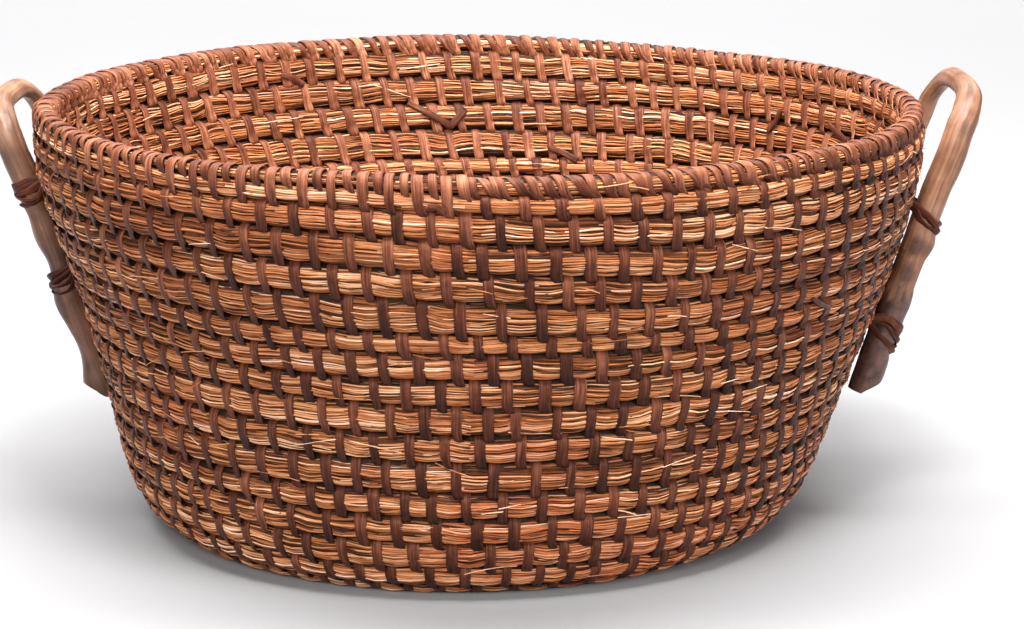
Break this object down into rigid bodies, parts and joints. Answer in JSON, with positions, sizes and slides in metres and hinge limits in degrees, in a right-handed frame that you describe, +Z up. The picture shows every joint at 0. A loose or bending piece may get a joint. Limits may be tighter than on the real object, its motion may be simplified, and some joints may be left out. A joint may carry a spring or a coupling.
{
  "type": "coiled straw basket",
  "caption": "Deep round basket of coiled straw bound with flat splint, flat base, flaring wall, wrapped rim and bent-wood side handles.",
  "frame": {"origin": "centre of the base on the surface it stands on", "axes": "+Z up, handles at -X and +X, the coil ends in the rim at -Y"},
  "size_m": [0.6176, 0.5573, 0.2806],
  "materials": {
    "straw": "satin, stranded, golden to reddish brown",
    "splint": "satin, fine grain along the strip, dark red-brown",
    "handle_wood": "worn smooth, grey-brown with darker bark"
  },
  "bodies": {
    "root": {"base_start_knot": "straw", "straw_base_coil": "straw", "straw_turn_01": "straw", "straw_turn_02": "straw", "straw_turn_03": "straw", "straw_turn_04": "straw", "straw_turn_05": "straw", "straw_turn_06": "straw", "straw_turn_07": "straw", "straw_turn_08": "straw", "straw_turn_09": "straw", "straw_turn_10": "straw", "straw_turn_11": "straw", "straw_turn_12": "straw", "straw_turn_13": "straw", "straw_turn_14": "straw", "straw_turn_15": "straw", "straw_rim_turn": "straw", "stitches_base": "splint", "stitches_turn_01": "splint", "stitches_turn_02": "splint", "stitches_turn_03": "splint", "stitches_turn_04": "splint", "stitches_turn_05": "splint", "stitches_turn_06": "splint", "stitches_turn_07": "splint", "stitches_turn_08": "splint", "stitches_turn_09": "splint", "stitches_turn_10": "splint", "stitches_turn_11": "splint", "stitches_turn_12": "splint", "stitches_turn_13": "splint", "stitches_turn_14": "splint", "stitches_turn_15": "splint", "rim_wraps": "splint", "lashing_left_front_upper": "splint", "lashing_left_front_lower": "splint", "lashing_left_back_upper": "splint", "lashing_left_back_lower": "splint", "lashing_right_front_upper": "splint", "lashing_right_front_lower": "splint", "lashing_right_back_upper": "splint", "lashing_right_back_lower": "splint", "handle_left": "handle_wood", "handle_right": "handle_wood"}
  },
  "joints": []
}
